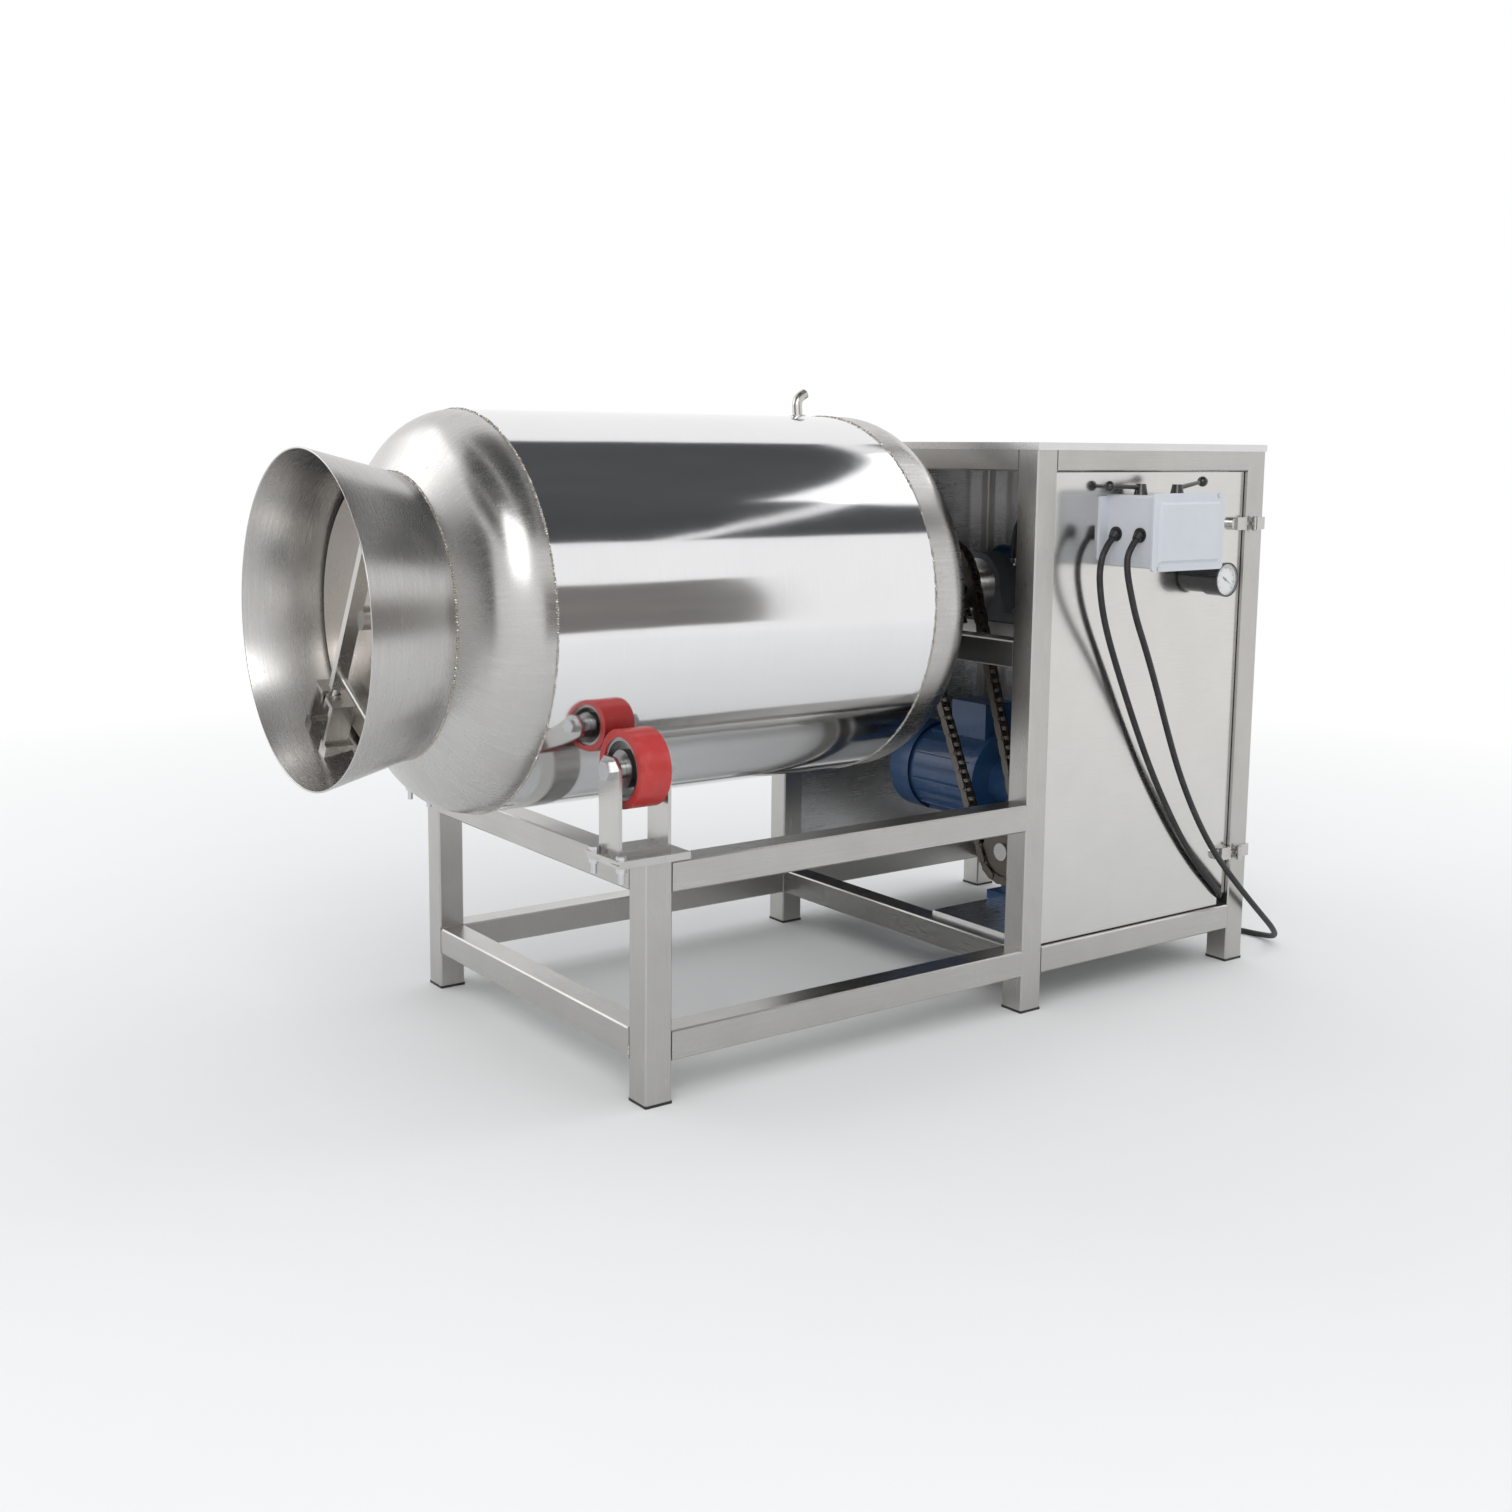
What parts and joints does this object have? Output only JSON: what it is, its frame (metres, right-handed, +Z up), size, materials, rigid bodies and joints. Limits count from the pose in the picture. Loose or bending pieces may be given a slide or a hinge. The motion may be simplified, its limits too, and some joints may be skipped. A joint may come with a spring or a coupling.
{
  "type": "meat vacuum tumbler",
  "caption": "Vacuum tumbler for meat: a polished drum with a flared mouth and clamped lid turns on rollers, driven by a chain from a cabinet with a hinged door.",
  "frame": {"origin": "centre of the machine's footprint on the floor, without its cables", "axes": "+Z up, +Y from the drum's mouth to the back of the cabinet, +X towards the door side"},
  "size_m": [0.8972, 2.0536, 1.149],
  "materials": {
    "satin_frame_steel": "satin brushed stainless steel",
    "sheet_steel": "satin stainless sheet",
    "polished_steel": "mirror-polished stainless steel",
    "polished_door": "mirror-polished stainless sheet",
    "box_steel": "light grey moulded plastic",
    "fitting_steel": "machined stainless steel",
    "zinc_fasteners": "zinc-plated steel",
    "sprocket_steel": "oiled machined steel",
    "chain_steel": "oiled steel",
    "bearing_steel": "ground steel",
    "block_iron": "painted cast iron",
    "machine_blue": "satin blue paint",
    "pump_blue": "satin blue paint",
    "red_urethane": "smooth cast urethane",
    "wheel_steel": "turned steel",
    "black_plug_plastic": "matt moulded plastic",
    "black_rubber": "matt rubber",
    "hose_rubber": "matt rubber",
    "white_silicone": "satin silicone",
    "lever_plastic": "gloss moulded plastic",
    "gauge_black": "satin black paint",
    "gauge_white": "matt white",
    "gauge_glass": "clear window",
    "pointer_black": "matt black"
  },
  "bodies": {
    "frame": {"front_legs": "satin_frame_steel", "cabinet_posts": "satin_frame_steel", "base_rails": "satin_frame_steel", "top_rails": "satin_frame_steel", "bearing_rails": "satin_frame_steel", "foot_plugs": "black_plug_plastic", "top_sheet": "sheet_steel", "fixed_panels": "sheet_steel", "mounting_plates": "satin_frame_steel", "roller_forks": "satin_frame_steel", "roller_axles": "zinc_fasteners", "roller_plates": "satin_frame_steel", "frame_bolts": "zinc_fasteners", "pillow_blocks": "block_iron", "bearing_inserts": "bearing_steel", "chain_roller_links": "chain_steel", "chain_pin_links": "chain_steel", "gearbox": "machine_blue", "drive_motor": "machine_blue", "rotary_union": "fitting_steel", "vacuum_pump": "pump_blue", "vacuum_hose": "hose_rubber", "door_hinge_leaves": "fitting_steel", "mains_cable": "black_rubber", "mains_coil": "black_rubber", "mains_plug": "black_plug_plastic"},
    "drum": {"drum_shell": "polished_steel", "front_head": "polished_steel", "rear_head": "polished_steel", "mouth_cone": "polished_steel", "seat_ring": "polished_steel", "drum_internals": "fitting_steel", "vacuum_port": "fitting_steel", "drum_hub": "fitting_steel", "drum_shaft": "fitting_steel", "clamp_lugs": "fitting_steel", "driven_sprocket": "sprocket_steel"},
    "lid": {"lid": "polished_steel", "lid_gasket": "white_silicone", "lid_clamp": "fitting_steel"},
    "wing_nut": {"wing_nut": "fitting_steel"},
    "roller_right": {"roller_tread_right": "red_urethane", "roller_core_right": "wheel_steel"},
    "roller_left": {"roller_tread_left": "red_urethane", "roller_core_left": "wheel_steel"},
    "drive_sprocket": {"drive_sprocket": "sprocket_steel", "output_shaft": "fitting_steel"},
    "door": {"door_panel": "polished_door", "door_hinge_straps": "fitting_steel", "switch_boxes": "box_steel", "switch_cover": "box_steel", "cover_screws": "zinc_fasteners", "cable_grommets": "black_rubber", "gauge_case": "gauge_black", "gauge_dial": "gauge_white", "gauge_lens": "gauge_glass", "door_cable": "black_rubber"},
    "lever_inner": {"lever_inner": "lever_plastic"},
    "lever_outer": {"lever_outer": "lever_plastic"},
    "gauge_pointer": {"gauge_pointer": "pointer_black"}
  },
  "joints": [
    {"name": "drum_spin", "type": "hinge", "parent": "frame", "child": "drum", "pos_m": [-0.05625, 0.31531, 0.762], "axis": [0, 1, 0], "continuous": true, "deforming": ["chain_roller_links", "chain_pin_links"]},
    {"name": "roller_right_spin", "type": "hinge", "parent": "frame", "child": "roller_right", "pos_m": [0.27375, -0.51669, 0.53861], "axis": [0, 1, 0], "continuous": true},
    {"name": "roller_left_spin", "type": "hinge", "parent": "frame", "child": "roller_left", "pos_m": [-0.38625, -0.51669, 0.53861], "axis": [0, 1, 0], "continuous": true},
    {"name": "drive_sprocket_spin", "type": "hinge", "parent": "frame", "child": "drive_sprocket", "pos_m": [0.14056, 0.42731, 0.252], "axis": [0, 1, 0], "continuous": true},
    {"name": "lid_slide", "type": "slide", "parent": "drum", "child": "lid", "axis": [0, -1, 0], "range_m": [0, 0.3]},
    {"name": "wing_nut_spin", "type": "hinge", "parent": "lid", "child": "wing_nut", "pos_m": [-0.13525, -0.84331, 0.62517], "axis": [-0.5, 0, -0.866], "continuous": true},
    {"name": "door_hinge", "type": "hinge", "parent": "frame", "child": "door", "pos_m": [0.34375, 0.88931, 0.23], "axis": [0, 0, 1], "range_deg": [0, 100], "deforming": ["door_cable", "mains_cable"]},
    {"name": "lever_inner_turn", "type": "hinge", "parent": "door", "child": "lever_inner", "pos_m": [0.35225, 0.54131, 0.957], "axis": [0, 0, 1], "range_deg": [0, 60]},
    {"name": "lever_outer_turn", "type": "hinge", "parent": "door", "child": "lever_outer", "pos_m": [0.40925, 0.57431, 0.957], "axis": [0, 0, 1], "range_deg": [-60, 0]},
    {"name": "gauge_pointer_turn", "type": "hinge", "parent": "door", "child": "gauge_pointer", "pos_m": [0.39375, 0.74931, 0.794], "axis": [1, 0, 0], "range_deg": [0, 270], "stiffness_Nm_per_rad": 0.005}
  ],
  "couplings": [
    {"joint": "roller_right_spin", "follows": "drum_spin", "ratio": -5.3006},
    {"joint": "roller_left_spin", "follows": "drum_spin", "ratio": -5.3006},
    {"joint": "drive_sprocket_spin", "follows": "drum_spin", "ratio": 1.5789}
  ]
}
